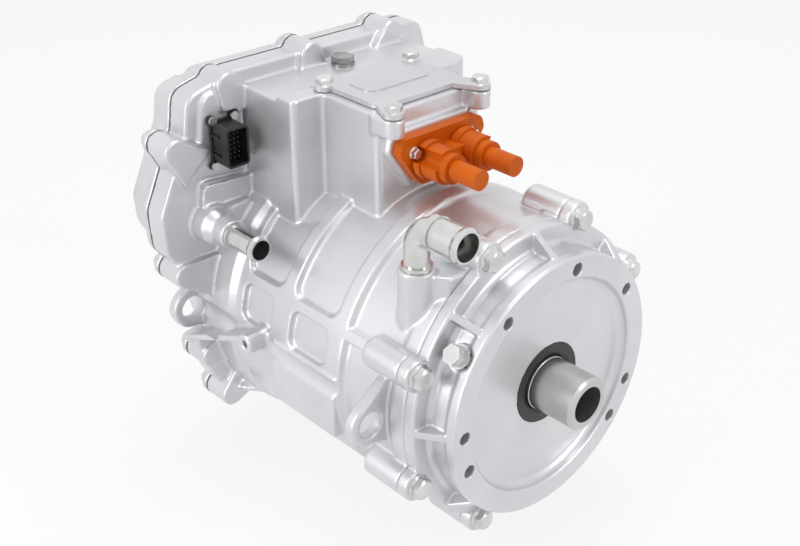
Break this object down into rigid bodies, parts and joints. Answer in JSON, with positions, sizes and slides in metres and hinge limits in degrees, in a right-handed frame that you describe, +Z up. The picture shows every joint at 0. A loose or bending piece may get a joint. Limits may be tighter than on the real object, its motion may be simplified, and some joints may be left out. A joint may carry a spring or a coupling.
{
  "type": "electric drive unit",
  "caption": "Liquid-cooled electric drive unit: a ribbed motor housing with its electronics box on top, a flange with a hollow output shaft, power and control connectors and coolant ports.",
  "frame": {"origin": "centre of the output flange face, on the shaft axis", "axes": "+X along the shaft, out of the output flange; +Z up toward the electronics cover; -Y toward the coolant ports and the control connector"},
  "size_m": [0.3778, 0.3247, 0.371],
  "materials": {
    "housing_casting": "cast, lightly blasted",
    "shield_casting": "cast with a machined face",
    "rear_cover_casting": "die-cast",
    "cover_plate": "cast, satin",
    "sleeve_aluminium": "turned",
    "gasket_rubber": "matte, grey",
    "seal_rubber": "matte",
    "shaft_seal_rubber": "matte",
    "bolt_steel": "zinc plated",
    "shaft_steel": "ground",
    "bearing_steel": "ground",
    "lamination_steel": "stacked sheet",
    "copper": "enamelled copper",
    "magnet": "coated magnet",
    "cage_plastic": "moulded",
    "module_plastic": "moulded",
    "board": "varnished",
    "hv_connector_plastic": "moulded, orange",
    "hv_cable_sheath": "orange sheath",
    "lv_connector_plastic": "moulded",
    "pin_brass": "plated",
    "port_metal": "formed tube",
    "breather_metal": "plated",
    "vent_plug_metal": "zinc plated"
  },
  "bodies": {
    "housing": {"motor_housing": "housing_casting", "front_shield": "shield_casting", "rear_cover": "rear_cover_casting", "rear_cover_gasket": "gasket_rubber", "terminal_cover": "cover_plate", "terminal_cover_gasket": "gasket_rubber", "shield_bolts": "bolt_steel", "rear_cover_bolts": "bolt_steel", "terminal_cover_bolts": "bolt_steel", "cooling_sleeve": "sleeve_aluminium", "sleeve_o_rings": "seal_rubber", "shield_o_ring": "seal_rubber", "stator_core": "lamination_steel", "stator_winding": "copper", "front_bearing_outer_race": "bearing_steel", "rear_bearing_outer_race": "bearing_steel", "bearing_circlip": "bearing_steel", "bearing_preload_spring": "bearing_steel", "resolver_stator": "lamination_steel", "dowel_pins": "bearing_steel", "power_module": "module_plastic", "link_capacitor": "module_plastic", "control_board": "board", "phase_busbars": "copper", "phase_terminal_block": "module_plastic", "shaft_seal": "shaft_seal_rubber", "hv_connector_seal": "seal_rubber", "hv_connector": "hv_connector_plastic", "hv_cable_ends": "hv_cable_sheath", "hv_connector_bolts": "bolt_steel", "hv_busbars": "copper", "lv_connector": "lv_connector_plastic", "lv_connector_pins": "pin_brass", "lv_connector_screws": "bolt_steel", "coolant_inlet_tube": "port_metal", "coolant_outlet_elbow": "port_metal", "breather_plug": "breather_metal", "deck_vent_plug": "vent_plug_metal"},
    "rotor": {"rotor_shaft": "shaft_steel", "rotor_core": "lamination_steel", "rotor_magnets": "magnet", "front_end_plate": "sleeve_aluminium", "rear_end_plate": "sleeve_aluminium", "front_bearing_inner_race": "bearing_steel", "rear_bearing_inner_race": "bearing_steel", "resolver_rotor": "lamination_steel"},
    "front_ball_set": {"front_bearing_balls": "bearing_steel", "front_bearing_cage": "cage_plastic"},
    "rear_ball_set": {"rear_bearing_balls": "bearing_steel", "rear_bearing_cage": "cage_plastic"}
  },
  "joints": [
    {"name": "rotor_spin", "type": "hinge", "parent": "housing", "child": "rotor", "pos_m": [0, 0, 0], "axis": [1, 0, 0], "continuous": true},
    {"name": "front_ball_orbit", "type": "hinge", "parent": "housing", "child": "front_ball_set", "pos_m": [0, 0, 0], "axis": [1, 0, 0], "continuous": true},
    {"name": "rear_ball_orbit", "type": "hinge", "parent": "housing", "child": "rear_ball_set", "pos_m": [0, 0, 0], "axis": [1, 0, 0], "continuous": true}
  ],
  "couplings": [
    {"joint": "front_ball_orbit", "follows": "rotor_spin", "ratio": 0.4077},
    {"joint": "rear_ball_orbit", "follows": "rotor_spin", "ratio": 0.3972}
  ]
}
